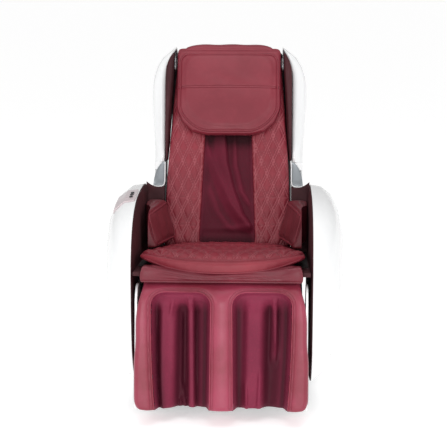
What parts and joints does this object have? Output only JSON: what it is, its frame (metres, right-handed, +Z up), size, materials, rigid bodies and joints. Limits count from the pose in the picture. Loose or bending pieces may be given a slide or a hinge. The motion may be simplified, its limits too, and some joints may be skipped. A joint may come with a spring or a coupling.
{
  "type": "electric massage chair",
  "caption": "Upright electric massage chair with rounded arm pods, reclining back, quilted seat and a lifting leg rest with calf troughs.",
  "frame": {"origin": "on the floor under the middle of the chair's overall box", "axes": "+Z up; the chair faces -Y; +X is to the right of someone looking at its front"},
  "size_m": [0.754, 0.9658, 1.0704],
  "materials": {
    "white_shell": "gloss white moulded shell",
    "dark_liner": "dark wine synthetic leather",
    "leather": "burgundy synthetic leather, soft sheen",
    "quilt": "burgundy synthetic leather, quilted",
    "curtain": "dark plum stretch cloth",
    "silver_trim": "silver satin lacquer",
    "speaker_grille": "black with a bright mesh",
    "steel_frame": "black powder coat",
    "bright_steel": "ground steel",
    "black_plastic": "fine moulded texture",
    "panel": "satin touch panel",
    "rubber": "plain",
    "board": "black-stained plywood",
    "roller": "soft polyurethane"
  },
  "bodies": {
    "chair_base": {"base_frame": "steel_frame", "seat_deck": "board", "seat_apron": "leather", "seat_cushion": "quilt", "control_panel": "panel", "base_rear_cover": "black_plastic", "control_box": "black_plastic", "air_pump": "black_plastic", "recline_actuator": "steel_frame", "legrest_actuator": "steel_frame", "side_plate_left": "steel_frame", "arm_shell_left": "white_shell", "arm_liner_left": "dark_liner", "hip_pad_left": "leather", "foot_front_left": "rubber", "foot_rear_left": "rubber", "side_plate_right": "steel_frame", "arm_shell_right": "white_shell", "arm_liner_right": "dark_liner", "hip_pad_right": "leather", "foot_front_right": "rubber", "foot_rear_right": "rubber"},
    "backrest": {"recline_shaft": "bright_steel", "back_crossbar_top": "steel_frame", "back_cover": "black_plastic", "back_cushion": "quilt", "back_curtain": "curtain", "head_pillow": "leather", "back_rail_left": "steel_frame", "back_shell_left": "white_shell", "wing_left": "dark_liner", "trim_left": "silver_trim", "speaker_left": "speaker_grille", "back_rail_right": "steel_frame", "back_shell_right": "white_shell", "wing_right": "dark_liner", "trim_right": "silver_trim", "speaker_right": "speaker_grille"},
    "carriage": {"massage_carriage": "steel_frame"},
    "leg_rest": {"legrest_tray": "white_shell", "leg_divider": "leather", "leg_top_band": "leather", "leg_bolster_left": "leather", "calf_pad_left": "curtain", "leg_bolster_right": "leather", "calf_pad_right": "curtain"},
    "recline_rod": {"recline_rod": "bright_steel"},
    "legrest_rod": {"legrest_rod": "bright_steel"},
    "power_rocker": {"power_switch": "black_plastic"},
    "rocking_arm_left": {"massage_arm_left": "steel_frame"},
    "upper_roller_left": {"massage_roller_upper_left": "roller"},
    "lower_roller_left": {"massage_roller_lower_left": "roller"},
    "wheel_left": {"wheel_left": "rubber"},
    "rocking_arm_right": {"massage_arm_right": "steel_frame"},
    "upper_roller_right": {"massage_roller_upper_right": "roller"},
    "lower_roller_right": {"massage_roller_lower_right": "roller"},
    "wheel_right": {"wheel_right": "rubber"},
    "key_1": {"panel_key_1": "black_plastic"},
    "key_2": {"panel_key_2": "black_plastic"},
    "key_3": {"panel_key_3": "black_plastic"}
  },
  "joints": [
    {"name": "recline", "type": "hinge", "parent": "chair_base", "child": "backrest", "pos_m": [0, 0.11768, 0.352], "axis": [-1, 0, 0], "range_deg": [0, 35]},
    {"name": "legrest_lift", "type": "hinge", "parent": "chair_base", "child": "leg_rest", "pos_m": [0, -0.36232, 0.352], "axis": [-1, 0, 0], "range_deg": [0, 80]},
    {"name": "recline_rod_slide", "type": "slide", "parent": "chair_base", "child": "recline_rod", "axis": [0, -1, 0], "range_m": [0, 0.0545]},
    {"name": "legrest_rod_slide", "type": "slide", "parent": "chair_base", "child": "legrest_rod", "axis": [0, -0.9854, -0.1702], "range_m": [0, 0.1185]},
    {"name": "carriage_travel", "type": "slide", "parent": "backrest", "child": "carriage", "axis": [0, 0.3795, 0.9252], "range_m": [0, 0.42]},
    {"name": "power_switch_rock", "type": "hinge", "parent": "chair_base", "child": "power_rocker", "pos_m": [0.08, 0.37268, 0.118], "axis": [1, 0, 0], "range_deg": [-5, 5]},
    {"name": "arm_rock_left", "type": "hinge", "parent": "carriage", "child": "rocking_arm_left", "pos_m": [0, 0.15946, 0.50131], "axis": [1, 0, 0], "range_deg": [-8, 8]},
    {"name": "upper_roller_spin_left", "type": "hinge", "parent": "rocking_arm_left", "child": "upper_roller_left", "pos_m": [-0.068, 0.17212, 0.548], "axis": [1, 0, 0], "continuous": true},
    {"name": "lower_roller_spin_left", "type": "hinge", "parent": "rocking_arm_left", "child": "lower_roller_left", "pos_m": [-0.068, 0.1357, 0.45918], "axis": [1, 0, 0], "continuous": true},
    {"name": "wheel_spin_left", "type": "hinge", "parent": "chair_base", "child": "wheel_left", "pos_m": [-0.2454, 0.34768, 0.032], "axis": [1, 0, 0], "continuous": true},
    {"name": "arm_rock_right", "type": "hinge", "parent": "carriage", "child": "rocking_arm_right", "pos_m": [0, 0.15946, 0.50131], "axis": [1, 0, 0], "range_deg": [-8, 8]},
    {"name": "upper_roller_spin_right", "type": "hinge", "parent": "rocking_arm_right", "child": "upper_roller_right", "pos_m": [0.068, 0.17212, 0.548], "axis": [1, 0, 0], "continuous": true},
    {"name": "lower_roller_spin_right", "type": "hinge", "parent": "rocking_arm_right", "child": "lower_roller_right", "pos_m": [0.068, 0.1357, 0.45918], "axis": [1, 0, 0], "continuous": true},
    {"name": "wheel_spin_right", "type": "hinge", "parent": "chair_base", "child": "wheel_right", "pos_m": [0.2454, 0.34768, 0.032], "axis": [1, 0, 0], "continuous": true},
    {"name": "key_press_1", "type": "slide", "parent": "chair_base", "child": "key_1", "axis": [0.1564, 0, -0.9877], "range_m": [0, 0.0012], "stiffness_N_per_m": 300, "springref_m": -0.0012},
    {"name": "key_press_2", "type": "slide", "parent": "chair_base", "child": "key_2", "axis": [0.1564, 0, -0.9877], "range_m": [0, 0.0012], "stiffness_N_per_m": 300, "springref_m": -0.0012},
    {"name": "key_press_3", "type": "slide", "parent": "chair_base", "child": "key_3", "axis": [0.1564, 0, -0.9877], "range_m": [0, 0.0012], "stiffness_N_per_m": 300, "springref_m": -0.0012}
  ],
  "couplings": [
    {"joint": "recline_rod_slide", "follows": "recline", "m_per_rad": 0.088607},
    {"joint": "legrest_rod_slide", "follows": "legrest_lift", "m_per_rad": 0.084707}
  ]
}
